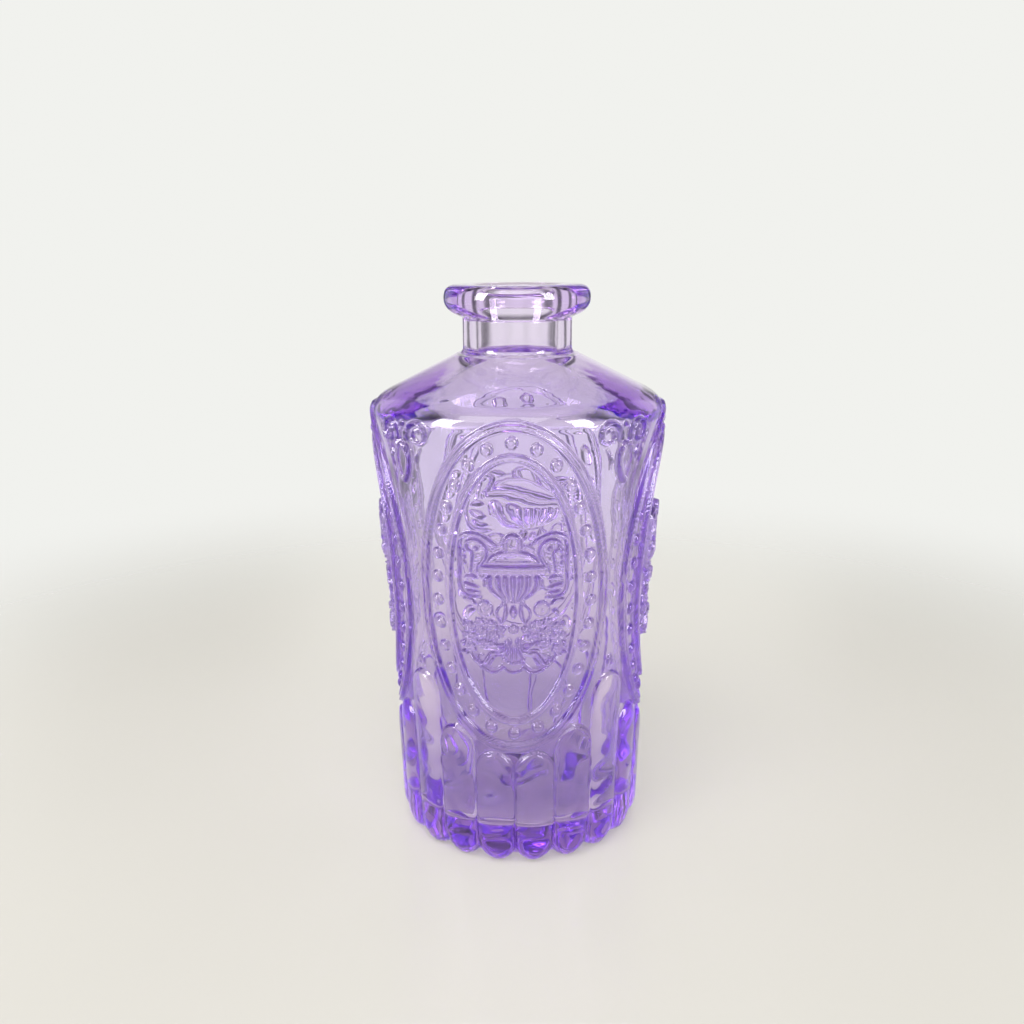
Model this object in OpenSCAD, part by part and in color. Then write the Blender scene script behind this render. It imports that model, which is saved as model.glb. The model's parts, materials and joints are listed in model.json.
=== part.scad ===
// Open-mouthed bottle of moulded lavender glass, with a ring lip, a short neck, a sloping
// shoulder, a round body that narrows to the foot, a cavity that turns soft square towards the
// shoulder, four oval medallions and twenty flutes. The origin is the centre of the foot on the
// table, +Z runs up the neck, and the front medallion faces -Y. Every length is in millimetres.

/* [Body] */
// Height from the table to the top of the lip
height = 115; // [112:0.5:118]
// Width across two opposite medallions at the shoulder
body_w = 59.6; // [57.6:0.2:61.6]
// Diameter of the foot inside the flutes
base_d = 49.2; // [48:0.2:51]
// How square the cavity is in plan, where 2 is a circle
cavity_square = 2.4; // [2:0.1:2.4]
// Thickness of the side wall behind a medallion
wall_t = 3; // [3:0.1:3.6]
// Height of the cavity floor above the table
floor_h = 6.7; // [6.6:0.1:8]
// Height of the flat shoulder slope, from its rounded edge to the neck
shoulder_h = 8.8; // [7.5:0.1:10]

/* [Neck and lip] */
// Outer diameter of the neck
neck_d = 22.1; // [21:0.1:23]
// Height of the neck between shoulder and lip
neck_h = 7; // [6:0.1:8]
// Outer diameter of the lip
lip_d = 29.6; // [28:0.1:31]
// Height of the lip
lip_h = 6.6; // [6:0.1:7.5]
// Diameter of the bore through lip and neck
bore_d = 16.2; // [15:0.1:17]

/* [Foot] */
// Height of the rounding at the foot, between the flutes
core_toe_h = 6.5; // [5.5:0.1:6.5]
// How far the foot curls in between the flutes
core_toe_in = 5; // [4:0.1:5.5]
// Height of the rounded toe of a flute
toe_h = 5; // [4:0.1:5.4]
// How far the toe of a flute curls in
toe_in = 3; // [2:0.1:3.5]
// Radius of the hollow under the foot
punt_r = 17; // [14:0.5:18]
// Depth of the hollow under the foot
punt_h = 1.6; // [1:0.1:2.5]
// How far a flute stands out of the wall
flute_lift = 1.3; // [0.8:0.1:1.6]
// Height of the tallest flutes, at the four corners
flute_tall = 39.8; // [36:0.2:41]
// Height of the flutes beside the tallest ones
flute_mid = 30; // [27:0.2:31]
// Height of the flutes under a medallion
flute_low = 25.2; // [22:0.2:25.4]

/* [Medallions] */
// Height of a medallion's centre above the table
oval_z = 58.8; // [57.5:0.1:59]
// Half height of the outer frame, at the middle of its ridge
outer_half_h = 32.4; // [31.6:0.1:32.6]
// Half width of the outer frame, along the wall
outer_half_w = 18.4; // [17.8:0.1:18.6]
// Half height of the ring of beads
bead_half_h = 29.3; // [29:0.1:29.6]
// Half width of the ring of beads, along the wall
bead_half_w = 15.5; // [15.2:0.1:15.8]
// Half height of the inner frame
inner_half_h = 26.5; // [26:0.1:26.8]
// Half width of the inner frame, along the wall
inner_half_w = 12.7; // [12.4:0.1:13]
// Width and height of the double ridge of the outer frame
outer_ridge = [1.9, 0.7];
// Width and height of the ridge of the inner frame
inner_ridge = [1.5, 0.7];
// Diameter of a bead
bead_d = 2.2; // [1.6:0.1:2.6]
// Height of a bead above the wall
bead_lift = 0.9; // [0.6:0.1:1.1]
// Number of beads round a medallion
bead_count = 30; // [24:2:32]
// Height of the urn relief above the wall
urn_lift = 1.1; // [0.7:0.1:1.4]

/* [Hidden] */
SIDES = [["front", 0], ["right", 90], ["back", 180], ["left", 270]];
CORNERS = [["front_right", 45], ["back_right", 135], ["back_left", 225], ["front_left", 315]];
PIECES = ["outer_frame", "inner_frame", "beads", "urn", "handles", "flowers", "bracket"];

neck_z = height - lip_h - neck_h;      // top of the shoulder
edge_z = neck_z - shoulder_h;          // where the wall and the shoulder slope would cross
round_z = edge_z - 2.6;                // start of the rounded shoulder edge
base_r = base_d / 2;
flare = body_w / 2 - base_r;
square_from = 10;                      // the cavity is round below this height
square_full = 45;                      // and has its full squareness above this one
neck_foot_r = neck_d / 2 + 1.2;        // foot of the small cove under the neck
cavity_corner = 3;                     // rounding where the wall meets the cavity floor
bore_flare = 0.4;                      // the shoulder's hole is this much wider than the bore
steps = 64;                            // points round the body
clear = 0.01;                          // reliefs start this far off the curved wall
purple = [0.62, 0.5, 0.84, 0.55];
deep_purple = [0.42, 0.28, 0.72, 0.7];
pale_purple = [0.74, 0.66, 0.9, 0.55];
$fn = 96;

// ---- surface of the body ----

// Radius of the wall at height z, before the rounding of the foot
function wide(z) = let (t = z / edge_z) base_r + flare * (0.54 * t + 0.46 * t * t);
// How far a rounding of height h and depth d has curled in at height z
function toe(z, h, d) = z >= h ? 0 : d * (1 - sqrt(1 - pow(1 - max(z, 0) / h, 2)));
function core_r(z) = wide(z) - toe(z, core_toe_h, core_toe_in);
function rib_r(z) = wide(z) - toe(z, toe_h, toe_in);
// Squareness of the cavity at height z
function square_at(z) =
    2 + (cavity_square - 2) * min(1, max(0, (z - square_from) / (square_full - square_from)));
// Radius at azimuth az of a plan with half width a and squareness n
function plan_r(az, a, n) = a / pow(pow(abs(cos(az)), n) + pow(abs(sin(az)), n), 1 / n);
// Point at azimuth az and radius r, where azimuth 0 is the front and 90 the right
function polar(az, r, z) = [r * sin(az), -r * cos(az), z];
// The shoulder edge is a soft curve from the wall, past the crossing point, to a point on the slope
function edge_soft() = [wide(edge_z), edge_z] + ([neck_foot_r, neck_z] - [wide(edge_z), edge_z]) * 0.2;
function edge_curve(t) = bezier([wide(round_z), round_z], [wide(edge_z), edge_z], edge_soft(), t);
// Where on that curve the height z lies
function edge_t(z) =
    let (a = round_z - 2 * edge_z + edge_soft()[1], b = 2 * (edge_z - round_z))
    (sqrt(b * b - 4 * a * (round_z - z)) - b) / (2 * a);
// Radius of the skin that reliefs lie on
function skin(z) = z <= round_z ? core_r(z) : edge_curve(edge_t(z))[0];
// Point on the skin: w along it from azimuth az, at height z, lifted off it by lift
function on_wall(az, w, z, lift = 0) = polar(az + w / wide(z) * 180 / PI, skin(z) + lift, z);
function bezier(p, q, r, t) = (1 - t) * (1 - t) * p + 2 * t * (1 - t) * q + t * t * r;
function ease(t) = t * t * (3 - 2 * t);

// ---- shared solids ----

// Closed solid from rings of equal length: side walls, and caps unless the rings close on themselves
module loft(rings, closed = false) {
    n = len(rings[0]);
    m = len(rings);
    last = closed ? m - 1 : m - 2;
    sides = [for (i = [0:last], j = [0:n - 1])
        let (k = (i + 1) % m, l = (j + 1) % n)
        each [[i * n + j, k * n + l, i * n + l], [i * n + j, k * n + j, k * n + l]]];
    caps = closed ? [] : [[for (j = [0:n - 1]) j], [for (j = [n - 1:-1:0]) (m - 1) * n + j]];
    polyhedron([for (r = rings) each r], concat(sides, caps), convexity = 8);
}

// Hollow shell: profile rows are [half width, height, squareness], up the outside, down the inside
module shell(profile) {
    loft([for (i = [0:steps - 1])
        let (az = -i * 360 / steps)
        [for (p = profile) polar(az, plan_r(az, p[0], p[2]), p[1])]], closed = true);
}

// Raised stroke on the wall along path rows [w, z, width, height], with a rounded section
module stroke(az, path, closed = false) {
    n = len(path);
    loft([for (i = [0:n - 1])
        let (p = path[i],
             a = path[closed ? (i + n - 1) % n : max(i - 1, 0)],
             b = path[closed ? (i + 1) % n : min(i + 1, n - 1)],
             d = [b[0] - a[0], b[1] - a[1]],
             s = [d[1], -d[0]] / max(norm(d), 0.001) * p[2] / 2)
        [for (k = [[-1, clear], [-0.6, p[3]], [0.6, p[3]], [1, clear]])
            on_wall(az, p[0] + k[0] * s[0], p[1] + k[0] * s[1], k[1])]], closed = closed);
}

// Low round dome sitting on the wall
module dome(az, w, z, d, h) {
    a = az + w / wide(z) * 180 / PI;
    lean = atan((wide(z + 1) - wide(z - 1)) / 2);
    translate(on_wall(az, w, z, 2 * clear)) rotate([0, 0, a]) rotate([90 - lean, 0, 0])
        rotate_extrude($fn = 24)
            polygon([for (t = [0:15:90]) [d / 2 * cos(t), h * sin(t)], [0, 0]]);
}

// Ellipse angle after the fraction f of the way round, so that beads sit at equal distances
function oval_length(a, b, t, step = 3) =
    t <= 0 ? 0 : norm([a * cos(t - step / 2), b * sin(t - step / 2)]) * step + oval_length(a, b, t - step, step);
function oval_angle(a, b, f, t = 0, run = 0) =
    let (goal = f * oval_length(a, b, 360), more = norm([a * cos(t + 1.5), b * sin(t + 1.5)]) * 3)
    run + more >= goal ? t + 3 * (goal - run) / more : oval_angle(a, b, f, t + 3, run + more);

// ---- the vessel ----

module lip() {
    r = lip_d / 2;
    b = bore_d / 2;
    z0 = neck_z + neck_h;
    color(purple) rotate_extrude()
        polygon(concat(
            [[b, z0], [neck_d / 2, z0]],
            [for (t = [0:0.125:1]) bezier([neck_d / 2 + 0.4, z0 + 0.2], [r, z0 + 1.5], [r, z0 + 0.6 * lip_h], t)],
            [for (t = [0.125:0.125:1]) bezier([r, z0 + 0.6 * lip_h], [r, height - 0.1], [r - 2.4, height], t)],
            [for (t = [0:0.25:1]) bezier([b + 1.4, height], [b, height], [b, height - 1], t)]));
}

module neck() {
    r = neck_d / 2;
    cove = neck_foot_r - r;
    color(purple) rotate_extrude()
        polygon(concat(
            [[bore_d / 2, neck_z + neck_h], [bore_d / 2, neck_z]],
            [for (t = [0:15:90]) [neck_foot_r - cove * sin(t), neck_z + cove * (1 - cos(t))]],
            [[r, neck_z + neck_h]]));
}

module shoulder() {
    n = square_at(round_z);
    top = [neck_foot_r, neck_z];
    inner_low = [wide(round_z) - wall_t, round_z];
    inner_hip = [wide(round_z) - wall_t, round_z + 1.2];
    inner_top = [bore_d / 2 + bore_flare, neck_z];
    inner_end = inner_top - [0, 2];
    inner_soft = inner_hip + (inner_end - inner_hip) * 0.25;
    inner_slope = [for (t = [0.75:-0.25:0]) inner_soft + (inner_end - inner_soft) * t];
    color(pale_purple) shell(concat(
        [for (t = [0:0.2:1]) let (p = edge_curve(t)) [p[0], p[1], 2]],
        [for (t = [0.25:0.25:1]) let (p = edge_soft() + (top - edge_soft()) * t) [p[0], p[1], 2]],
        [[inner_top[0], inner_top[1], 2], [inner_end[0], inner_end[1], 2]],
        [for (p = inner_slope) [p[0], p[1], 2 + (n - 2) * (inner_end[1] - p[1]) / (inner_end[1] - inner_soft[1])]],
        [for (t = [0.75:-0.25:0]) let (p = bezier(inner_low, inner_hip, inner_soft, t)) [p[0], p[1], n]]));
}

module body_wall() {
    span = round_z - floor_h;
    corner = floor_h + cavity_corner;
    color(purple) shell(concat(
        [for (i = [0:8]) let (z = floor_h + span * i / 8) [wide(z), z, 2]],
        [for (i = [8:-1:1])
            let (z = corner + (round_z - corner) * i / 8) [wide(z) - wall_t, z, square_at(z)]],
        [for (t = [90:-22.5:0])
            let (z = corner - cavity_corner * cos(t))
            [wide(z) - wall_t - cavity_corner * (1 - sin(t)), z, 2]]));
}

module base() {
    color(deep_purple) rotate_extrude()
        polygon(concat(
            [for (i = [0:6]) let (r = punt_r * i / 6) [r, punt_h * (1 - pow(r / punt_r, 2))]],
            [for (i = [0:8]) let (z = core_toe_h * (1 - cos(i * 90 / 8))) [core_r(z), z]],
            [[wide(floor_h), floor_h], [0, floor_h]]));
}

// One flute: a rounded rib with an arched top and a toe that narrows and curls in at the table
module flute(az, top) {
    across = [for (i = [0:4]) -cos(i * 45)];
    arch = 4.5;
    half = 8.8;
    spring = 3.6;
    heights = concat([for (i = [0:3]) toe_h * (1 - cos(i * 30))],
        [for (i = [1:3]) toe_h + (top - arch - toe_h) * i / 3],
        [for (i = [1:3]) top - arch + (arch - 0.15) * sin(i * 30)]);
    function narrow(z) = z < top - arch ? 0.55 + 0.45 * sin(90 * min(1, z / spring))
        : sqrt(max(1 - pow((z - top + arch) / arch, 2), 0.0009));
    loft([for (z = heights)
        let (k = narrow(z), h = flute_lift * (z < top - arch ? 1 : 0.35 + 0.65 * k))
        concat([for (x = across) polar(az + x * k * half, rib_r(z) + h * sqrt(1 - 0.97 * x * x), z)],
            [for (x = [0.5, 0, -0.5]) polar(az + x * k * half, core_r(z) + clear, z)])]);
}

module flutes(az) {
    color(deep_purple) {
        flute(az, flute_tall);
        for (s = [-1, 1]) {
            flute(az + s * 18, flute_mid);
            flute(az + s * 36, flute_low);
        }
    }
}

// ---- medallions ----

function oval_path(a, b, ridge, n) =
    [for (i = [0:n - 1]) let (t = i * 360 / n) [a * sin(t), oval_z + b * cos(t), ridge[0], ridge[1]]];

module outer_frame(az) {
    gap = outer_ridge[0] / 2;
    color(pale_purple) for (k = [-0.52, 0.52])
        stroke(az, oval_path(outer_half_w + k * gap * 1.05, outer_half_h + k * gap * 1.05,
            [gap, outer_ridge[1] * (k > 0 ? 1 : 0.75)], 40), closed = true);
}

module inner_frame(az) {
    color(pale_purple)
        stroke(az, oval_path(inner_half_w, inner_half_h, inner_ridge, 44), closed = true);
}

module beads(az) {
    color(pale_purple) for (i = [0:bead_count - 1]) {
        t = oval_angle(bead_half_w, bead_half_h, i / bead_count);
        dome(az, bead_half_w * sin(t), oval_z + bead_half_h * cos(t), bead_d, bead_lift);
    }
}

// Mirrored pair of raised lines through points [w, height from the oval's centre]
module twin_line(az, points, width, lift) {
    for (s = [-1, 1]) stroke(az, [for (p = points) [s * p[0], oval_z + p[1], width, lift]]);
}
// Mirrored pair of leaves from p past q to r
module twin_leaf(az, p, q, r, width, lift) {
    for (s = [-1, 1])
        stroke(az, [for (t = [0:0.25:1])
            let (c = bezier(p, q, r, t)) [s * c[0], oval_z + c[1], width * sin(25 + 140 * t), lift]]);
}

// Lidded urn with a knob, a domed lid, a rim, a bowl of seven gadroons and a hanging bead
module urn(az) {
    h = urn_lift;
    z = oval_z;
    lid_w = 10;
    rim_w = 12.6;
    gadroon = 1.49;
    color(purple) {
        stroke(az, [for (r = [[9.5, 3.6], [10.9, 3.6], [11.8, 2.8], [12.3, 1]]) [0, z + r[0], r[1], h]]);
        stroke(az, [for (t = [0:0.2:1]) [0, z + 6.2 + 2.9 * t, lid_w * sqrt(1.02 - t * t), h]]);
        stroke(az, [for (x = [-1:0.5:1]) [x * rim_w / 2, z + 5.2, 1.4, h]]);
        for (k = [-3:3])
            stroke(az, [for (t = [0:0.25:1])
                [k * gadroon * (1 - 0.62 * ease(t)), z + 4.1 - 5.3 * t, 1.35 - 0.85 * ease(t), h]]);
        stroke(az, [for (r = [[-2.1, 0.9], [-3.2, 1.7], [-4.1, 1.4], [-4.8, 0.4]]) [0, z + r[0], r[1], h]]);
    }
}

// Pair of handles: an outer band from the lid down to the bowl, a curl inside it and three feathers
module handles(az) {
    band = [[3.4, 10], [5.3, 11.1], [7.4, 11.6], [9.3, 11.1], [10.2, 9.9], [10.3, 5.9],
        [10.1, 2.6], [9, 0.4], [6.4, -0.5]];
    curl = [[6.2, 6.1], [5.2, 7.9], [5.4, 9.3], [6.7, 10.2], [8.2, 9.9], [8.4, 8.4],
        [7.9, 6.5], [8.1, 4.6]];
    color(purple) {
        twin_line(az, band, 1, urn_lift);
        twin_line(az, curl, 0.9, urn_lift);
        twin_leaf(az, [6.6, 2.9], [8.2, 3.4], [9.3, 2.9], 1.1, urn_lift * 0.8);
        twin_leaf(az, [6.6, 1], [8.3, 2.2], [9.2, 1.8], 1.1, urn_lift * 0.8);
    }
}

// Roses, hanging leaves and blossoms round a palmette under the bowl
module flowers(az) {
    h = urn_lift;
    blooms = [[5.35, -2.9, 3.6], [4.6, -6.9, 2.3], [7.9, -8.1, 2.5],
        [8.3, -10.8, 2.4], [5.7, -10.4, 2.2], [1.1, -9.8, 1.8]];
    color(purple) {
        for (s = [-1, 1], b = blooms) dome(az, s * b[0], oval_z + b[1], b[2], h);
        twin_leaf(az, [1.7, -1.8], [3.6, -3.6], [2.2, -5.6], 1.5, h);
        twin_leaf(az, [7.6, -3], [8.6, -1.6], [10, -1.2], 1.2, h);
        twin_leaf(az, [0.5, -10.9], [0.6, -12], [0.7, -13.3], 1, h);
        twin_leaf(az, [1.7, -10.9], [2.4, -11.4], [3, -12.4], 1.1, h);
        twin_leaf(az, [4.2, -12.4], [5.6, -15.2], [6.9, -12.6], 1.2, h);
    }
}

// Three-lobed bracket that closes the relief below
module bracket(az) {
    lobe = [[0.3, -15.9], [1.3, -16], [1.9, -14.9]];
    side = [[1.9, -14.9], [4.2, -18.1], [8.1, -12.9]];
    color(purple) for (c = [lobe, side])
        twin_line(az, [for (t = [0:0.125:1]) bezier(c[0], c[1], c[2], t)], 0.7, urn_lift * 0.8);
}

// ---- corner ornaments ----

// Mirrored pair of volutes high on a corner
module scrolls(az) {
    z = edge_z - 3.9;
    r0 = 2.2;
    color(deep_purple) for (s = [-1, 1])
        stroke(az, [for (a = [0:30:540])
            let (r = r0 - (r0 - 0.55) * a / 540)
            [s * (4.1 + r * cos(180 + a)), z + r * sin(180 + a) * -1, 0.95 - 0.35 * a / 540, 0.75]]);
}

// Teardrop that hangs between the volutes
module drop(az) {
    top = edge_z - 5.4;
    long = 8;
    color(deep_purple)
        stroke(az, [for (t = [0:0.1:1]) [0, top - long * t, 3.4 * pow(sin(180 * pow(t, 1.35)), 0.8) + 0.3, 0.9]]);
}

lip();
neck();
shoulder();
body_wall();
base();
for (s = SIDES) {
    outer_frame(s[1]);
    inner_frame(s[1]);
    beads(s[1]);
    urn(s[1]);
    handles(s[1]);
    flowers(s[1]);
    bracket(s[1]);
}
for (c = CORNERS) {
    flutes(c[1]);
    scrolls(c[1]);
    drop(c[1]);
}
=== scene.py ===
"""Lavender moulded-glass perfume bottle: one closed, highly detailed glass mesh over the CAD frame."""
import json
import math

import bpy
import numpy as np
from mathutils import Euler, Matrix, Vector


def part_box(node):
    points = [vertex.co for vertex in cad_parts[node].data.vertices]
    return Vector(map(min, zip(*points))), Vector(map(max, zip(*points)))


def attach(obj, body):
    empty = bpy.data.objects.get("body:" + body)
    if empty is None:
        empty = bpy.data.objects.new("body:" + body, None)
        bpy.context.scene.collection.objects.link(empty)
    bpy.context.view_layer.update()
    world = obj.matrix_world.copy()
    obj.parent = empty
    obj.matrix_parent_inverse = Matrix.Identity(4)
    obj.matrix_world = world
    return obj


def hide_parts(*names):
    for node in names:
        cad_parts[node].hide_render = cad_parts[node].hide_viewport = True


MM = 0.001

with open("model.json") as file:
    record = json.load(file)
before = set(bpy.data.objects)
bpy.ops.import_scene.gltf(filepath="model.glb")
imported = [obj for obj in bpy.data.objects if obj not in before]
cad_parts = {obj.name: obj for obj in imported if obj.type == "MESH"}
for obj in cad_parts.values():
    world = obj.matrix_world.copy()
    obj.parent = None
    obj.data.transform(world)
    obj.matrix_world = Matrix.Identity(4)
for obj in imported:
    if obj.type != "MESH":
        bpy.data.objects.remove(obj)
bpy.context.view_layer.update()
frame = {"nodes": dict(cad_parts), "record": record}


def corners_of(node):
    """Lowest and highest corners of a CAD node at rest, in millimetres."""
    low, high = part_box(node)
    return np.array(low) / MM, np.array(high) / MM


# ---------------------------------------------------------------- sizes, from the frame, in mm
HEIGHT = corners_of("lip")[1][2]
LIP_R = corners_of("lip")[1][0]
LIP_Z = corners_of("lip")[0][2]
NECK_Z = corners_of("neck")[0][2]
COVE_R = corners_of("neck")[1][0]
ROUND_Z = corners_of("shoulder")[0][2]
FLOOR_Z = corners_of("base")[1][2]
OVAL_LOW, OVAL_HIGH = (corner[2] for corner in corners_of("outer_frame_front"))
BORE_R = frame["record"]["mounts"][0]["dims"]["r_mm"]
OVAL_Z = (OVAL_LOW + OVAL_HIGH) / 2

# ---------------------------------------------------------------- sizes that the frame doesn't give, in mm
COVE = 1.2  # radius of the cove at the foot of the neck
NECK_R = COVE_R - COVE
EDGE_Z = ROUND_Z + 2.6  # where wall and shoulder would meet without the rounding
BASE_R = 24.6  # radius of the foot inside the flutes
FLARE = 5.2  # how much the wall's radius grows up to the shoulder
WALL = 3.0
SQUARE = 2.4  # exponent of the cavity's outline where it is squarest
SQUARE_FROM, SQUARE_FULL = 10.0, 45.0  # heights between which it gets there
CORE_TOE = (6.5, 5.0)  # height and depth of the foot's rounding
RIB_TOE = (5.0, 3.0)  # the same at a flute
PUNT_R = 17.0  # radius and depth of the hollow under the foot
PUNT_H = 1.6
CORNER_R = 3.0  # rounding between the cavity's wall and floor
LIP_ROUND = 2.4
MOUTH_ROUND = 1.4
AXIS_R = 0.4  # smallest ring of points round the axis

# relief: half width and half height of the ovals, and angle and top of the flutes
FRAMES = {"outer": (18.4, 32.4), "beads": (15.5, 29.3), "inner": (12.7, 26.5)}
FLUTE_TOPS = ((9, 25.2), (27, 30.0), (45, 39.8))
FLUTE_HALF_TURN = 8.95
FLUTE_DEPTH = 1.3
FLUTE_ARCH = 4.6

# relief: what the widths of its sides, and the heights of its bands and plates, are multiplied by
DRAFT = 1.6
LIFT = 1.45

# relief: the slope where its painted shade starts, and the slope where that shade is full
SLOPE_SHADE_FROM, SLOPE_SHADE_FULL = 0.45, 2.05

# the grid: fine columns in degrees, the number of coarse ones, and the heights of rows in mm
FINE_HALF_TURN, FINE_TURN, COARSE_COLUMNS = 25.2, 0.28, 560
LOW_STEP, URN_STEP, HIGH_STEP = 0.3, 0.14, 0.27
URN_ROWS = (41, 73)
CEILING_ROWS, FLOOR_ROWS = 20, 15

# waves in the glass: height and shortest length in mm, and the number that they stay under round the bottle
WAVE_COUNT = 14
SKIN_WAVES = (0.02, 14, 9)
INSIDE_WAVES = (0.3, 14, 9)
LOW_INSIDE_WAVES = (0.6, 8, 16)
FLOOR_WAVES = (0.5, 12, 7)
SEED = 7

# looks: the skin's tint goes by share of the height; over the glass's lavender it paints shade on the base
# and body, and leaves the foot and neck nearly clear
BODY_TINT_AND_SHADE = (0.90, 0.855, 0.98, 1)
SKIN_TINT_AND_SHADE = ((0.03, (1.0, 0.99, 1.0, 1)), (0.13, (0.62, 0.56, 0.81, 1)), (0.33, BODY_TINT_AND_SHADE),
             (0.8, BODY_TINT_AND_SHADE), (0.9, (0.99, 0.975, 1.0, 1)))
# painted shade: the darker tint that the steep sides of the relief get
SLOPE_SHADE_TINT = (0.40, 0.31, 0.64, 1)
GLASS_COLOUR = (0.56, 0.19, 0.87, 1)
GLASS_DENSITY = 39
FLOOR_COLOUR = (0.64, 0.625, 0.585, 1)
BACKDROP = (0.88, 0.885, 0.855, 1)
DAYLIGHT = (1.0, 0.99, 0.97)
ROOM_BANDS = 8
ROOM_SHADE = 0.2
BOUNCES = 48


# ---------------------------------------------------------------- the bottle's smooth surface
def toe(z, size):
    """How far a rounding of the given height and depth has curled in at height z."""
    up = np.clip(z, 0, size[0]) / size[0]
    return size[1] * (1 - np.sqrt(1 - (1 - up) ** 2))


def wide(z):
    """Radius of the wall at height z, before the rounding of the foot."""
    t = z / EDGE_Z
    return BASE_R + FLARE * (0.54 * t + 0.46 * t * t)


def square_at(z):
    """Exponent of the cavity's outline at height z, 2 for a circle."""
    return 2 + (SQUARE - 2) * ramp((z - SQUARE_FROM) / (SQUARE_FULL - SQUARE_FROM))


def plan_r(az, half, n):
    """Radius at azimuth az of a squared circle."""
    return half / (np.abs(np.cos(az)) ** n + np.abs(np.sin(az)) ** n) ** (1 / n)


def curve(p, q, r, count=12):
    """Points along a quadratic curve from p towards q to r."""
    t = np.linspace(0, 1, count)[:, None]
    p, q, r = (np.array(v, float) for v in (p, q, r))
    return (1 - t) ** 2 * p + 2 * t * (1 - t) * q + t ** 2 * r


def line(p, q, count):
    """Points from p to q, leaving out p."""
    t = np.linspace(0, 1, count + 1)[1:, None]
    return np.array(p, float) + t * (np.array(q, float) - np.array(p, float))


def smooth_path(points, per=6):
    """Rounded path through the middles of the segments between points."""
    p = np.asarray(points, float)
    mid = (p[:-1] + p[1:]) / 2
    out = [p[:1]]
    for i in range(1, len(p) - 1):
        start = mid[i - 1] if i > 1 else p[0]
        end = mid[i] if i < len(p) - 2 else p[-1]
        out.append(curve(start, p[i], end, per))
    return np.concatenate(out)


# ---------------------------------------------------------------- relief, as heights over (w, z)
def ramp(x):
    """Soft step from 0 at x = 0 to 1 at x = 1."""
    x = np.clip(x, 0, 1)
    return x * x * (3 - 2 * x)


class Relief:
    """Raised ornament over the wall: w runs along it from a line of symmetry, z from the oval's centre."""

    def __init__(self, w, z):
        self.w, self.z = w, z
        self.top = np.zeros_like(w)

    def near(self, low, high, reach):
        """Which points lie in a box or within reach of it."""
        return ((self.w > low[0] - reach) & (self.w < high[0] + reach)
                & (self.z > low[1] - reach) & (self.z < high[1] + reach))

    def raise_to(self, where, height):
        """Lifts the chosen points to at least height."""
        self.top[where] = np.maximum(self.top[where], height)

    def band(self, points, width, height, edge=0.3, rim=0.0):
        """Flat-topped strip along points with steep sides; rim sinks its middle by that share."""
        points = np.asarray(points, float)
        count = len(points)
        width = np.atleast_1d(width)
        width = np.interp(np.linspace(0, 1, count), np.linspace(0, 1, len(width)), width)
        where = self.near(points.min(0), points.max(0), width.max() / 2)
        edge *= DRAFT
        if not where.any():
            return
        w, z = self.w[where], self.z[where]
        best = np.full_like(w, -9.0)
        for i in range(count - 1):
            a, d = points[i], points[i + 1] - points[i]
            t = np.clip(((w - a[0]) * d[0] + (z - a[1]) * d[1]) / max(d @ d, 1e-9), 0, 1)
            off = np.hypot(w - a[0] - t * d[0], z - a[1] - t * d[1])
            best = np.maximum(best, (width[i] + t * (width[i + 1] - width[i])) / 2 - off)
        section = ramp(best / edge) * (1 - rim * ramp((best - edge - 0.08) / edge))
        self.raise_to(where, LIFT * height * section)

    def plate(self, low, high, inside, height, edge=0.3, rim=0.0):
        """Flat-topped patch; inside(w, z) is the distance in from its outline."""
        edge *= DRAFT
        where = self.near(low, high, edge)
        d = inside(self.w[where], self.z[where])
        self.raise_to(where, LIFT * height * ramp(d / edge) * (1 - rim * ramp((d - edge - 0.08) / edge)))

    def dome(self, w, z, radius, height):
        """Round bead with a steep foot."""
        where = self.near((w, z), (w, z), radius)
        x = np.hypot(self.w[where] - w, self.z[where] - z) / radius
        self.raise_to(where, height * np.sqrt(np.clip(1 - x * x, 0, 1)))

    def leaf(self, start, bend, tip, width, height=0.8):
        """Pointed leaf with a vein sunk along its middle."""
        points = curve(start, bend, tip, 10)
        self.band(points, [width * 0.3, width, width * 0.85, 0.1], height, 0.26, rim=0.35)

    def blossom(self, w, z, radius, petals=5, turn=0.0):
        """Small open flower: petals round a bead."""
        for k in range(petals):
            a = turn + k * 2 * math.pi / petals
            self.dome(w + 0.62 * radius * math.cos(a), z + 0.62 * radius * math.sin(a), 0.4 * radius, 0.75)
        self.dome(w, z, 0.34 * radius, 0.95)

    def rose(self, w, z, radius):
        """Full-blown flower: a bud wrapped in curled petals."""
        self.plate((w - radius, z - radius), (w + radius, z + radius),
                   lambda x, y: radius * 0.94 - np.hypot(x - w, y - z), 0.5)
        self.band(spiral(w, z, radius * 0.9, radius * 0.34, 60, 1.7), [0.42, 0.34], 0.95, 0.18)
        self.dome(w, z, radius * 0.26, 1.0)


def spiral(w, z, radius, inner, start, turns, way=1, count=46):
    """Points of a volute that winds in from radius to inner."""
    t = np.linspace(0, 1, count)
    angle = np.radians(start) + way * t * turns * 2 * math.pi
    r = radius + (inner - radius) * t ** 0.9
    return np.stack([w + r * np.cos(angle), z + r * np.sin(angle)], 1)


def oval_distance(w, z, half_w, half_h):
    """Signed distance from an ellipse round the medallion's centre, near its outline."""
    f = (w / half_w) ** 2 + (z / half_h) ** 2
    slope = 2 * np.hypot(w / half_w ** 2, z / half_h ** 2)
    return (f - 1) / np.maximum(slope, 0.02)


def even_angles(half_w, half_h, count):
    """Ellipse angles that put beads at equal distances."""
    t = np.linspace(0, 2 * math.pi, 3601)
    steps = np.hypot(np.diff(half_w * np.sin(t)), np.diff(half_h * np.cos(t)))
    run = np.concatenate([[0], np.cumsum(steps)])
    return np.interp(np.arange(count) / count * run[-1], run, t)


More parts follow.
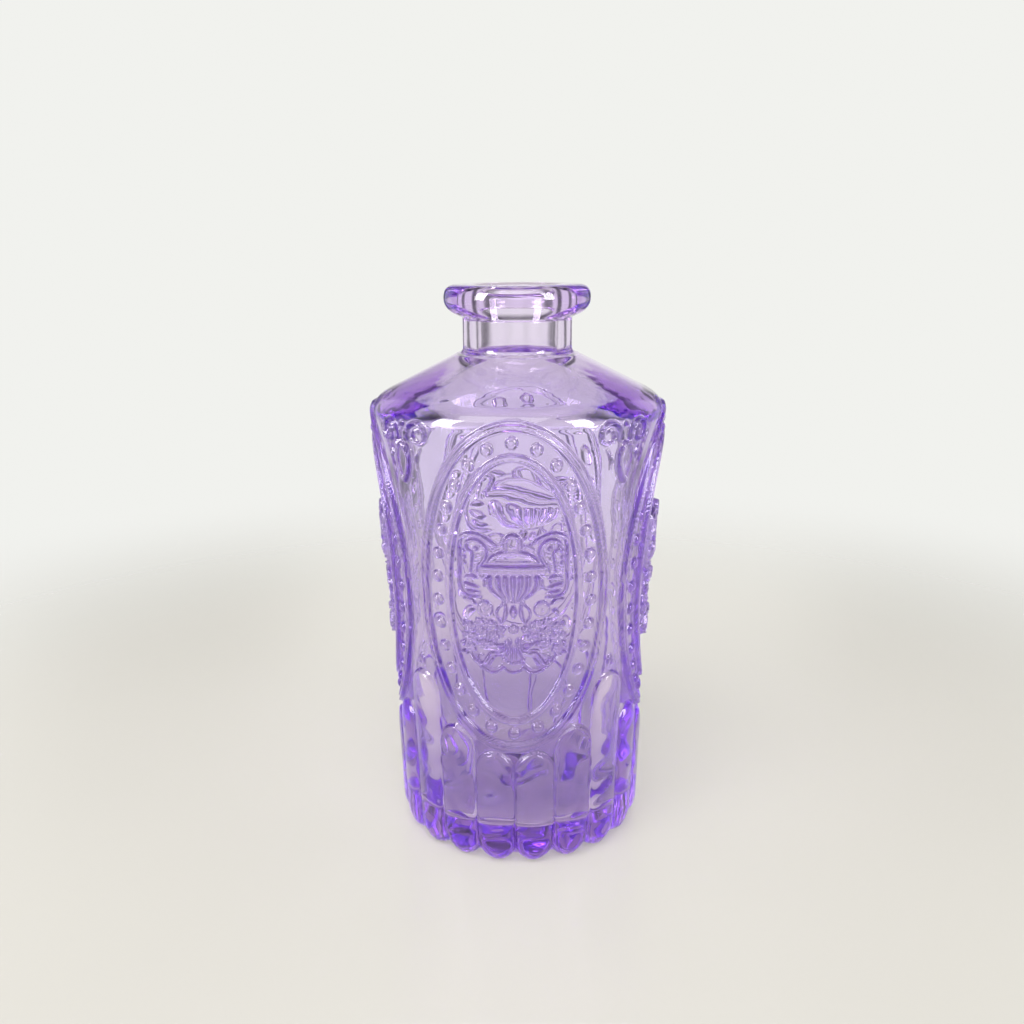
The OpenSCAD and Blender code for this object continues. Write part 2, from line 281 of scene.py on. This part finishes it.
def medallion(r):
    """The two oval frames and the beads between them."""
    everywhere = np.ones_like(r.w, bool)
    off = np.abs(oval_distance(r.w, r.z, *FRAMES["outer"]))
    tall = 0.64 + 0.26 * ramp((26 - r.z) / 8)
    r.raise_to(everywhere, tall * ramp((1.0 - off) / 0.36) * (1 - 0.6 * ramp((0.36 - off) / 0.3)))
    off = np.abs(oval_distance(r.w, r.z, *FRAMES["inner"]))
    r.raise_to(everywhere, 0.9 * ramp((0.78 - off) / 0.36) * (1 - 0.35 * ramp((0.24 - off) / 0.24)))
    half_w, half_h = FRAMES["beads"]
    for t in even_angles(half_w, half_h, 30):
        r.dome(half_w * math.sin(t), half_h * math.cos(t), 1.18, 0.88)


def urn(r):
    """Lidded urn: knob, domed lid, rim, bowl of gadroons and a hanging bead."""
    knob = lambda w, z: 1.85 - np.hypot(w, np.maximum(z - 10.5, 0))
    r.plate((0, 9.4), (2, 12.4), knob, 0.95, 0.3, rim=0.45)
    r.band([(1.75, 9.95), (2.8, 9.65), (3.9, 9.1)], 0.42, 0.75, 0.2)
    lid = lambda w, z: np.minimum(3.0 * (1 - np.hypot(w / 5.15, np.maximum(z - 6.1, 0) / 3.05)), z - 6.1)
    r.plate((0, 6.1), (5.2, 9.2), lid, 0.85, 0.3, rim=0.4)
    brim = lambda w, z: np.minimum(np.minimum(6.35 - w, z - 4.45), 5.95 - z)
    r.plate((0, 4.4), (6.4, 6.0), brim, 0.9, 0.24, rim=0.35)
    r.band([(0, 4.25), (5.9, 4.25)], 0.32, 0.5, 0.16)
    for top, out, foot in ((0, 0, 0), (1.42, 0.1, 0.5), (2.84, 0.3, 1.0), (4.45, 0.75, 1.55)):
        path = curve((top, 3.4), (top + out, 0.9), (foot, -1.2), 14)
        r.band(path, [1.4, 1.3, 0.9, 0.5], 1.05, 0.46)
    r.band(curve((4.5, 3.3), (5.9, 3.4), (5.4, 1.7), 8), 0.5, 0.8, 0.2)
    r.band([(0, -1.35), (2.0, -1.5)], 0.5, 0.75, 0.2)
    r.band([(0, -2.5), (0, -3.5), (0, -4.5)], [1.0, 1.75, 0.9], 1.0, 0.4)


def handles(r):
    """Handle: an outer strap from the lid down to the bowl, a curl inside it and feathers below."""
    strap = smooth_path([(3.3, 9.9), (4.6, 11.0), (7.4, 12.1), (10.2, 11.2), (10.45, 8.6), (10.3, 5),
                         (10.5, 2), (9.8, -0.1), (8, -0.8), (6.2, -0.6)], 7)
    r.band(strap, [0.8, 1.1, 1.0, 0.8, 0.5], 0.8, 0.24, rim=0.5)
    curl = smooth_path([(6.1, 5.9), (5.0, 7.4), (5.0, 9.4), (6.8, 10.9), (8.9, 10.3), (8.8, 8.7), (7.5, 8.4),
                        (7.9, 6.2), (8.1, 4.4)], 7)
    r.band(curl, [0.9, 1.0, 0.8, 0.6], 0.85, 0.24, rim=0.4)
    r.dome(7.0, 9.0, 0.5, 0.9)
    r.band(curve((6.2, 6.2), (6.9, 5.6), (6.9, 4.4), 6), 0.5, 0.8, 0.2)
    for z in (8.4, 7.2, 6.1):
        r.dome(9.35, z, 0.42, 0.8)
    r.leaf((6.6, 3.1), (8.2, 3.8), (9.6, 3.0), 1.15)
    r.leaf((6.5, 1.4), (8.2, 1.2), (9.9, 2.4), 1.2)
    r.leaf((6.2, 0.3), (8.0, 0.0), (9.4, 0.9), 0.95)


def flowers(r):
    """Roses, hanging leaves and small blossoms round a palmette under the bowl."""
    # leaves that hang on both sides of the bead
    r.band(curve((1.5, -1.9), (1.1, -3.8), (2.1, -5.7), 12), [0.6, 1.0, 0.5], 0.85, 0.24)
    r.band(curve((1.9, -1.9), (4.3, -3.6), (2.3, -5.8), 12), [0.5, 0.55, 0.4], 0.8, 0.2)
    r.rose(5.4, -3.0, 1.8)
    r.leaf((7.0, -2.2), (8.2, -0.8), (10.0, -1.2), 1.3)
    r.leaf((7.3, -3.4), (8.4, -3.2), (8.6, -5.0), 1.1)
    # lacy mass of blossoms
    for w, z, radius, turn in (
            (4.3, -6.3, 1.15, 0.2), (6.5, -5.9, 1.1, 0.9), (8.4, -7.0, 1.2, 0.4), (6.1, -8.0, 1.25, 0.1),
            (3.7, -8.6, 1.1, 0.7), (8.0, -9.2, 1.25, 0.0), (5.8, -10.3, 1.15, 0.5), (9.4, -8.7, 0.8, 0.3),
            (8.3, -11.4, 1.1, 0.9), (2.3, -7.1, 0.85, 0.5)):
        r.blossom(w, z, radius, 5, turn)
    for start, bend, tip, width in (
            ((9.0, -5.6), (9.9, -5.9), (9.9, -7.2), 0.8), ((9.2, -9.7), (10.2, -10.2), (9.6, -11.4), 0.9),
            ((3.0, -5.6), (3.6, -6.6), (3.1, -7.6), 0.7), ((4.6, -9.2), (4.9, -10.0), (4.0, -10.9), 0.8),
            ((6.9, -9.2), (7.3, -9.9), (6.9, -10.9), 0.7), ((9.0, -12.1), (9.9, -12.0), (10.6, -12.8), 0.9)):
        r.leaf(start, bend, tip, width)
    # palmette with two round eyes and ribs that fan down
    r.blossom(0.0, -7.0, 1.0, 6, 0.3)
    r.band(spiral(1.12, -9.8, 0.78, 0.3, 100, 1.1, count=24), 0.34, 0.95, 0.16)
    r.dome(1.12, -9.8, 0.32, 1.0)
    for k in range(4):
        foot = (0.3 + 0.42 * k, -10.7 + 0.1 * k)
        tip = (0.42 + 1.0 * k, -13.2 + 0.36 * k * k)
        r.band(curve(foot, (foot[0] * 1.4, -12.0), tip, 8), [0.4, 0.72, 0.6], 0.95, 0.2)
    for k in range(3):
        r.dome(0.9 * k, -14.1 + 0.2 * k * k, 0.42, 0.85)
    r.band(curve((1.9, -10.2), (3.2, -10.4), (4.6, -9.6), 8), [0.7, 0.5], 0.8, 0.2)
    # S-scrolls in the lobes of the bracket
    scroll = smooth_path([(3.0, -12.1), (4.2, -11.6), (5.0, -13.0), (5.9, -14.6), (7.0, -13.9), (6.9, -12.6),
                          (5.9, -12.6)], 6)
    r.band(scroll, [0.4, 0.8, 0.8, 0.4], 0.9, 0.2)
    r.band([(4.0, -13.2), (4.7, -14.4)], 0.7, 0.8, 0.2)
    r.leaf((7.6, -12.6), (8.6, -12.2), (9.6, -13.0), 0.8)


def bracket(r):
    """Lobed contour that closes the relief below."""
    lobe = curve((0, -15.95), (1.3, -15.95), (1.95, -14.9), 10)
    side = curve((1.95, -14.9), (4.2, -18.1), (8.2, -12.9), 18)
    for path in (lobe, side):
        r.band(path, 0.62, 0.85, 0.22)
    r.band(curve((2.1, -14.3), (4.4, -17.0), (7.6, -12.7), 16), 0.3, 0.55, 0.14)


def corner_ornament(r):
    """Half of the pair of volutes, and half of the leaf-shaped drop, that meet on the corner line."""
    up = ROUND_Z - OVAL_Z
    eye_w, eye_z = 4.15, up - 1.5
    r.band(spiral(eye_w, eye_z, 2.8, 0.75, 200, 1.4, way=-1, count=60), [0.95, 0.85, 0.7, 0.55], 0.75, 0.2)
    r.band(curve((1.6, eye_z - 0.6), (0.7, eye_z - 2.2), (1.9, eye_z - 4.6), 10), [0.4, 0.7, 0.3], 0.75, 0.2)
    r.band(curve((4.6, eye_z - 2.7), (3.0, eye_z - 4.2), (3.3, eye_z - 6.6), 12), [0.3, 0.7, 0.2], 0.7, 0.2)
    top, long = up - 2.9, 8.4

    def drop(w, z):
        t = np.clip((top - z) / long, 0, 1)
        return 2.25 * np.sin(math.pi * t ** 0.8) ** 0.75 - w
    r.plate((0, top - long), (2.4, top), drop, 0.85, 0.35, rim=0.45)
    r.dome(0, up + 0.3, 0.5, 0.7)
    # flame above the tall flute
    r.band(curve((0, -15.2), (0.9, -16.6), (0.25, -18.4), 8), [0.3, 0.6, 0.25], 0.6, 0.2)


def flutes(az, z):
    """Height of the convex flutes over the core, az in degrees from a medallion's middle."""
    lift = np.zeros_like(z)
    reach = FLUTE_DEPTH + toe(z, CORE_TOE) - toe(z, RIB_TOE)
    foot = 0.55 + 0.45 * np.sin(math.pi / 2 * np.clip(z / 3.6, 0, 1))
    for middle, top in FLUTE_TOPS:
        t = np.clip((z - (top - FLUTE_ARCH)) / FLUTE_ARCH, 0, 1)
        half = np.sqrt(np.clip(1 - t * t, 0, 1)) * foot
        inside = np.clip(1 - ((az - middle) / FLUTE_HALF_TURN / np.maximum(half, 1e-3)) ** 2, 0, 1)
        height = reach * inside ** 0.5 * (0.5 + 0.5 * half / foot)
        lift = np.maximum(lift, np.where(half > 0.02, height, 0))
    return lift


def relief_heights(az, z):
    """Relief over the wall at the azimuths az of all columns and the heights z of all rows."""
    fold = np.abs((np.degrees(az) + 45) % 90 - 45)
    fold_grid, z_grid = np.meshgrid(fold, z)
    w = np.radians(fold_grid) * wide(z_grid)
    r = Relief(w.ravel(), (z_grid - OVAL_Z).ravel())
    for ornament in (medallion, urn, handles, flowers, bracket):
        ornament(r)
    c = Relief((math.pi / 4 * wide(z_grid) - w).ravel(), (z_grid - OVAL_Z).ravel())
    corner_ornament(c)
    return np.maximum(np.maximum(r.top, c.top).reshape(w.shape), flutes(fold_grid, z_grid))


def ripple(az, z, waves, seed):
    """Slow waves in the glass, closed round the bottle."""
    size, length, turns = waves
    rng = np.random.default_rng(seed)
    total = np.zeros(np.broadcast(az, z).shape)
    for _ in range(WAVE_COUNT):
        k = rng.integers(1, turns)
        m = rng.uniform(0.3, 1) * 2 * math.pi / length
        total += rng.uniform(0.4, 1) * np.cos(k * az + rng.uniform(0, 7)) * np.cos(m * z + rng.uniform(0, 7))
    return size * total / 4


# ---------------------------------------------------------------- the grid
def column_angles():
    """Azimuths of the columns, closer together across the front medallion."""
    dense = np.arange(-FINE_HALF_TURN, FINE_HALF_TURN, FINE_TURN)
    sparse = np.linspace(FINE_HALF_TURN, 360 - FINE_HALF_TURN, COARSE_COLUMNS, endpoint=False)
    return np.radians(np.concatenate([dense, sparse]))


def wall_rows():
    """Heights of the rows up the outside wall, closer together across the urn."""
    toe_rows = CORE_TOE[0] * (1 - np.cos(np.linspace(0, math.pi / 2, 26)))
    low, high = URN_ROWS
    return np.concatenate([toe_rows, np.arange(CORE_TOE[0] + LOW_STEP, low - 0.2, LOW_STEP),
                           np.arange(low, high - 0.1, URN_STEP), np.arange(high, ROUND_Z - 0.1, HIGH_STEP)])


def profile():
    """Rows of half width, height and squareness, and the rows where the relief starts and ends and the
    cavity starts."""
    rows = [(r, PUNT_H * (1 - (r / PUNT_R) ** 2), 2.0) for r in np.linspace(AXIS_R, PUNT_R, 12)]
    rows += [(BASE_R - CORE_TOE[1] - 0.8, 0.0, 2.0)]
    first = len(rows)
    rows += [(wide(z) - toe(z, CORE_TOE), z, 2.0) for z in wall_rows()]
    hip = np.array([wide(EDGE_Z), EDGE_Z])
    top = np.array([COVE_R, NECK_Z])
    soft = hip + (top - hip) * 0.2
    rows += [(a, z, 2.0) for a, z in curve((wide(ROUND_Z), ROUND_Z), hip, soft, 18)]
    last = len(rows)
    rows += [(a, z, 2.0) for a, z in line(soft, top, 24)]
    for a in np.radians(np.linspace(10, 90, 9)):
        rows.append((COVE_R - COVE * math.sin(a), NECK_Z + COVE * (1 - math.cos(a)), 2.0))
    rows += [(a, z, 2.0) for a, z in line((NECK_R, NECK_Z + COVE), (NECK_R, LIP_Z - 0.3), 10)]
    mid = (LIP_R, LIP_Z + 0.6 * (HEIGHT - LIP_Z))
    under = (NECK_R + 0.6, LIP_Z + 0.35)
    for path in (curve((NECK_R, LIP_Z - 0.3), (NECK_R, LIP_Z + 0.2), under, 5),
                 curve(under, (LIP_R, LIP_Z + 1.5), mid, 16),
                 curve(mid, (LIP_R, HEIGHT - 0.1), (LIP_R - LIP_ROUND, HEIGHT), 14),
                 line((LIP_R - LIP_ROUND, HEIGHT), (BORE_R + MOUTH_ROUND, HEIGHT), 5),
                 curve((BORE_R + MOUTH_ROUND, HEIGHT), (BORE_R, HEIGHT), (BORE_R, HEIGHT - MOUTH_ROUND), 8),
                 line((BORE_R, HEIGHT - MOUTH_ROUND), (BORE_R, NECK_Z), 12)):
        rows += [(a, z, 2.0) for a, z in path[1:]]
    cavity = len(rows)
    n = square_at(ROUND_Z)
    end = np.array([BORE_R + 0.4, NECK_Z - 2.0])
    low = np.array([wide(ROUND_Z) - WALL, ROUND_Z])
    edge = low + (0, 0.9)
    bend = edge + (end - edge) * 0.16
    rows += [(a, z, 2.0) for a, z in curve((BORE_R, NECK_Z), (BORE_R, NECK_Z - 1.2), end, 8)[1:]]
    for a, z in line(end, bend, CEILING_ROWS):
        rows.append((a, z, 2 + (n - 2) * (end[1] - z) / (end[1] - bend[1])))
    rows += [(a, z, n) for a, z in curve(bend, edge, low, 12)[1:]]
    corner = FLOOR_Z + CORNER_R
    rows += [(wide(z) - WALL, z, square_at(z)) for z in np.linspace(ROUND_Z - 1, corner, 84)]
    inner = wide(corner) - WALL - CORNER_R
    for a in np.radians(np.linspace(80, 0, 9)):
        rows.append((inner + CORNER_R * math.sin(a), corner - CORNER_R * math.cos(a), 2.0))
    for r in np.linspace(inner, AXIS_R, FLOOR_ROWS + 1)[1:]:
        rows.append((r, FLOOR_Z + 0.5 * (1 - (r / inner) ** 2), 2.0))
    return np.array(rows, float), first, last, cavity


def slope_shade_weight(heights, az, z):
    """How steep the relief is at each point, from 0 where it is level to 1, as the weight of its painted
    shade.
    """
    span = (np.roll(az, -1) - np.roll(az, 1)) % (2 * math.pi) * wide(z)[:, None]
    across = (np.roll(heights, -1, 1) - np.roll(heights, 1, 1)) / span
    slope = np.hypot(across, np.gradient(heights, z, axis=0))
    return ramp((slope - SLOPE_SHADE_FROM) / (SLOPE_SHADE_FULL - SLOPE_SHADE_FROM))


def bottle_points():
    """Points of the whole skin, from under the foot over the lip to the cavity floor, and how steep it is, as
    the weight of its painted shade.
    """
    rows, first, last, cavity = profile()
    az = column_angles()
    turn = az[None, :]
    half, z, n = (rows[:, k][:, None] for k in range(3))
    radius = plan_r(turn, half, n)
    wall_z = rows[first:last, 1]
    relief = relief_heights(az, wall_z)
    radius[first:last] += relief
    steep = np.zeros_like(radius)
    # painted shade on the steep sides of the relief
    steep[first:last] = slope_shade_weight(relief, az, wall_z)
    # waves of the whole skin, which fade out towards the table
    settle = np.clip(z[first:] / 8, 0, 1)
    radius[first:] += settle * ripple(turn, z[first:], SKIN_WAVES, SEED)
    # waves of the inside, which start in the ceiling, are stronger low down and fade out towards the axis
    start = cavity + CEILING_ROWS
    fade = np.clip(np.arange(len(rows) - start) / 12, 0, 1)[:, None] * np.clip(half[start:] / 10, 0, 1)
    low = ramp((38 - z[start:]) / 24)
    waves = ripple(turn, z[start:], INSIDE_WAVES, SEED + 1)
    waves = waves + low * ripple(turn, z[start:], LOW_INSIDE_WAVES, SEED + 2)
    radius[start:] += fade * waves
    # waves of the cavity floor, which fade out towards its middle and its rim
    height = np.broadcast_to(z, radius.shape).copy()
    floor_r = half[-FLOOR_ROWS:]
    fade = np.clip(floor_r / 6, 0, 1) ** 2 * np.clip((20 - floor_r) / 4, 0, 1)
    height[-FLOOR_ROWS:] += ripple(turn, floor_r, FLOOR_WAVES, SEED + 3) * fade
    return np.stack([radius * np.sin(az), -radius * np.cos(az), height], -1), steep


def bottle_mesh():
    """The whole bottle as one closed skin, with how steep its relief is as an attribute that weights its
    painted shade.
    """
    grid, steep = bottle_points()
    count, columns = grid.shape[:2]
    i, j = np.meshgrid(np.arange(count - 1), np.arange(columns), indexing="ij")
    k = (j + 1) % columns
    corners = (i * columns + j, i * columns + k, (i + 1) * columns + k, (i + 1) * columns + j)
    quads = np.stack(corners, -1).reshape(-1, 4)
    points = np.concatenate([grid.reshape(-1, 3), [[0, 0, PUNT_H], [0, 0, grid[-1, 0, 2]]]])
    j = np.arange(columns)
    k = (j + 1) % columns
    under = np.stack([np.full(columns, len(points) - 2), k, j], -1)
    end = (count - 1) * columns
    inside = np.stack([np.full(columns, len(points) - 1), end + j, end + k], -1)
    mesh = bpy.data.meshes.new("bottle_glass")
    mesh.from_pydata((points * MM).tolist(), [], quads.tolist() + under.tolist() + inside.tolist())
    mesh.polygons.foreach_set("use_smooth", [True] * len(mesh.polygons))
    mesh.update()
    # painted shade: how steep the relief is, for the darker tint of its sides
    shade = mesh.attributes.new("steep", "FLOAT", "POINT")
    shade.data.foreach_set("value", np.append(steep.ravel(), [0, 0]))
    return mesh


# ---------------------------------------------------------------- materials
def new_material(name):
    """New material with its nodes and links."""
    mat = bpy.data.materials.new(name)
    mat.use_nodes = True
    return mat, mat.node_tree.nodes, mat.node_tree.links


def set_inputs(node, **values):
    """Sets a node's sockets; an underscore in a name stands for a space."""
    for name, value in values.items():
        node.inputs[name.replace("_", " ")].default_value = value


def glass_material():
    """Lavender glass: a skin tint by height with painted shade over the base and body, painted shade on the
    steep relief, faint bumps and a purple body.
    """
    mat, nodes, links = new_material("lavender_glass")
    shader = nodes["Principled BSDF"]
    set_inputs(shader, Roughness=0.012, IOR=1.5, Transmission_Weight=1.0)
    place = nodes.new("ShaderNodeTexCoord")
    split = nodes.new("ShaderNodeSeparateXYZ")
    links.new(place.outputs["Object"], split.inputs["Vector"])
    rise = nodes.new("ShaderNodeMapRange")
    set_inputs(rise, From_Max=HEIGHT * MM)
    links.new(split.outputs["Z"], rise.inputs["Value"])
    # painted shade by height on the base and body, over the glass's own lavender tint
    tint_and_shade = nodes.new("ShaderNodeValToRGB")
    tint_and_shade.color_ramp.interpolation = "EASE"
    stops = tint_and_shade.color_ramp.elements
    stops[0].position, stops[0].color = SKIN_TINT_AND_SHADE[0]
    stops[1].position, stops[1].color = SKIN_TINT_AND_SHADE[-1]
    for position, colour in SKIN_TINT_AND_SHADE[1:-1]:
        stops.new(position).color = colour
    links.new(rise.outputs["Result"], tint_and_shade.inputs["Fac"])
    # painted shade: the steep sides of the relief are multiplied by a darker tint
    steep = nodes.new("ShaderNodeAttribute")
    steep.attribute_name = "steep"
    add_slope_shade = nodes.new("ShaderNodeMix")
    add_slope_shade.data_type = "RGBA"
    add_slope_shade.blend_type = "MULTIPLY"
    first, second, result = add_slope_shade.inputs[6], add_slope_shade.inputs[7], add_slope_shade.outputs[2]  # its colour sockets
    links.new(steep.outputs["Fac"], add_slope_shade.inputs["Factor"])
    links.new(tint_and_shade.outputs["Color"], first)
    second.default_value = SLOPE_SHADE_TINT
    links.new(result, shader.inputs["Base Color"])
    wave = nodes.new("ShaderNodeTexNoise")
    set_inputs(wave, Scale=160, Detail=2)
    links.new(place.outputs["Object"], wave.inputs["Vector"])
    bumps = nodes.new("ShaderNodeBump")
    set_inputs(bumps, Strength=0.25, Distance=0.0002)
    links.new(wave.outputs["Fac"], bumps.inputs["Height"])
    links.new(bumps.outputs["Normal"], shader.inputs["Normal"])
    absorb = nodes.new("ShaderNodeVolumeAbsorption")
    set_inputs(absorb, Color=GLASS_COLOUR, Density=GLASS_DENSITY)
    links.new(absorb.outputs["Volume"], nodes["Material Output"].inputs["Volume"])
    return mat


def floor_material():
    """Pale tabletop with a soft gloss that fades away round the bottle."""
    mat, nodes, links = new_material("pale_floor")
    shader = nodes["Principled BSDF"]
    set_inputs(shader, Base_Color=FLOOR_COLOUR, Roughness=0.25)
    place = nodes.new("ShaderNodeTexCoord")
    far = nodes.new("ShaderNodeVectorMath")
    far.operation = "LENGTH"
    links.new(place.outputs["Object"], far.inputs[0])
    fade = nodes.new("ShaderNodeMapRange")
    fade.interpolation_type = "SMOOTHERSTEP"
    set_inputs(fade, From_Min=0.34, From_Max=0.1)
    links.new(far.outputs["Value"], fade.inputs["Value"])
    links.new(fade.outputs["Result"], shader.inputs["Alpha"])
    return mat


# ---------------------------------------------------------------- the piece
def make_bottle():
    """The glass, in place of every CAD node, because the real bottle is one casting."""
    bottle = bpy.data.objects.new("bottle_glass", bottle_mesh())
    bpy.context.scene.collection.objects.link(bottle)
    bottle.data.materials.append(glass_material())
    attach(bottle, "root")
    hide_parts(*frame["nodes"])
    return bottle


# ---------------------------------------------------------------- stage, light and camera
def make_stage():
    """Floor just under the foot."""
    half, low = 1.5, -0.00005
    corners = [(-half, -half, low), (half, -half, low), (half, half, low), (-half, half, low)]
    mesh = bpy.data.meshes.new("floor")
    mesh.from_pydata(corners, [], [(0, 1, 2, 3)])
    floor = bpy.data.objects.new("floor", mesh)
    bpy.context.scene.collection.objects.link(floor)
    mesh.materials.append(floor_material())


def soft_light(name, place, target, size, power, hidden=(), shadow=True, only=None):
    """Area lamp, unseen by the camera and by the rays in hidden; only is the one object it lights, if any."""
    lamp = bpy.data.lights.new(name, "AREA")
    lamp.shape = "RECTANGLE"
    lamp.size, lamp.size_y = size
    lamp.energy = power
    lamp.color = DAYLIGHT
    lamp.use_shadow = shadow
    obj = bpy.data.objects.new(name, lamp)
    bpy.context.scene.collection.objects.link(obj)
    obj.location = place
    aim = Vector(target) - Vector(place)
    obj.rotation_euler = aim.to_track_quat("-Z", "Y").to_euler()
    if only:
        lit = bpy.data.collections.new(name + "_lights")
        lit.objects.link(only)
        obj.light_linking.receiver_collection = lit
    for ray in ("camera", *hidden):
        setattr(obj, "visible_" + ray, False)


def make_world():
    """Room that the glass sees: darker overhead and in soft bands round the horizon, plain to the camera."""
    world = bpy.data.worlds.new("studio")
    bpy.context.scene.world = world
    world.use_nodes = True
    nodes, links = world.node_tree.nodes, world.node_tree.links

    def calc(operation, *values):
        """Output of a Math node that works on numbers or on other outputs."""
        node = nodes.new("ShaderNodeMath")
        node.operation = operation
        for socket, value in zip(node.inputs, values):
            if isinstance(value, (int, float)):
                socket.default_value = value
            else:
                links.new(value, socket)
        return node.outputs["Value"]

    def fade(value, dark_at, light_at):
        """Brightness that rises softly from the shade to 1 as value goes from dark_at to light_at."""
        node = nodes.new("ShaderNodeMapRange")
        node.interpolation_type = "SMOOTHSTEP"
        set_inputs(node, From_Min=dark_at, From_Max=light_at, To_Min=ROOM_SHADE)
        links.new(value, node.inputs["Value"])
        return node.outputs["Result"]

    place = nodes.new("ShaderNodeTexCoord")
    split = nodes.new("ShaderNodeSeparateXYZ")
    links.new(place.outputs["Generated"], split.inputs["Vector"])
    turn = calc("ARCTAN2", split.outputs["X"], split.outputs["Y"])
    bands = fade(calc("COSINE", calc("MULTIPLY", turn, ROOM_BANDS)), -1, 0)
    overhead = fade(calc("ABSOLUTE", split.outputs["Z"]), 0.72, 0.36)
    ray = nodes.new("ShaderNodeLightPath")
    light = calc("MAXIMUM", calc("MULTIPLY", bands, overhead), ray.outputs["Is Camera Ray"])
    links.new(light, nodes["Background"].inputs["Strength"])
    set_inputs(nodes["Background"], Color=BACKDROP)


def make_light(bottle):
    """Two windows for the glass alone, one over the front for everything, and a fill for the floor alone."""
    aim = (0, 0, 0.07)
    soft_light("left_window", (-0.52, -0.34, 0.32), aim, (0.2, 0.5), 6.0, only=bottle)
    soft_light("right_window", (0.47, -0.36, 0.31), aim, (0.18, 0.46), 4.5, only=bottle)
    soft_light("top_window", (-0.12, -0.45, 0.75), aim, (0.8, 0.5), 4.6)
    soft_light("floor_fill", (0, 0.1, 0.9), (0, 0.1, 0), (0.9, 0.9), 6.4,
               hidden=("glossy", "transmission"), shadow=False)


def make_camera():
    """Eye level a little over the lip, looking down at the body."""
    away, up, turn, pitch, yaw, roll = 0.210, 0.1217, 2.26, 14.38, 0.37, -0.43
    cam = bpy.data.cameras.new("camera")
    cam.sensor_width = 36
    cam.lens = 36.04
    cam.clip_start = 0.005
    obj = bpy.data.objects.new("camera", cam)
    bpy.context.scene.collection.objects.link(obj)
    a = math.radians(turn)
    obj.location = (away * math.sin(a), -away * math.cos(a), up)
    look = Euler((math.radians(90 - pitch), 0, a + math.radians(yaw))).to_matrix()
    obj.rotation_euler = (look @ Matrix.Rotation(math.radians(roll), 3, "Z")).to_euler()
    bpy.context.scene.camera = obj


scene = bpy.context.scene
scene.view_settings.view_transform = "Standard"
scene.cycles.max_bounces = BOUNCES
scene.cycles.transmission_bounces = BOUNCES
scene.cycles.glossy_bounces = BOUNCES
bottle = make_bottle()
make_stage()
make_world()
make_light(bottle)
make_camera()
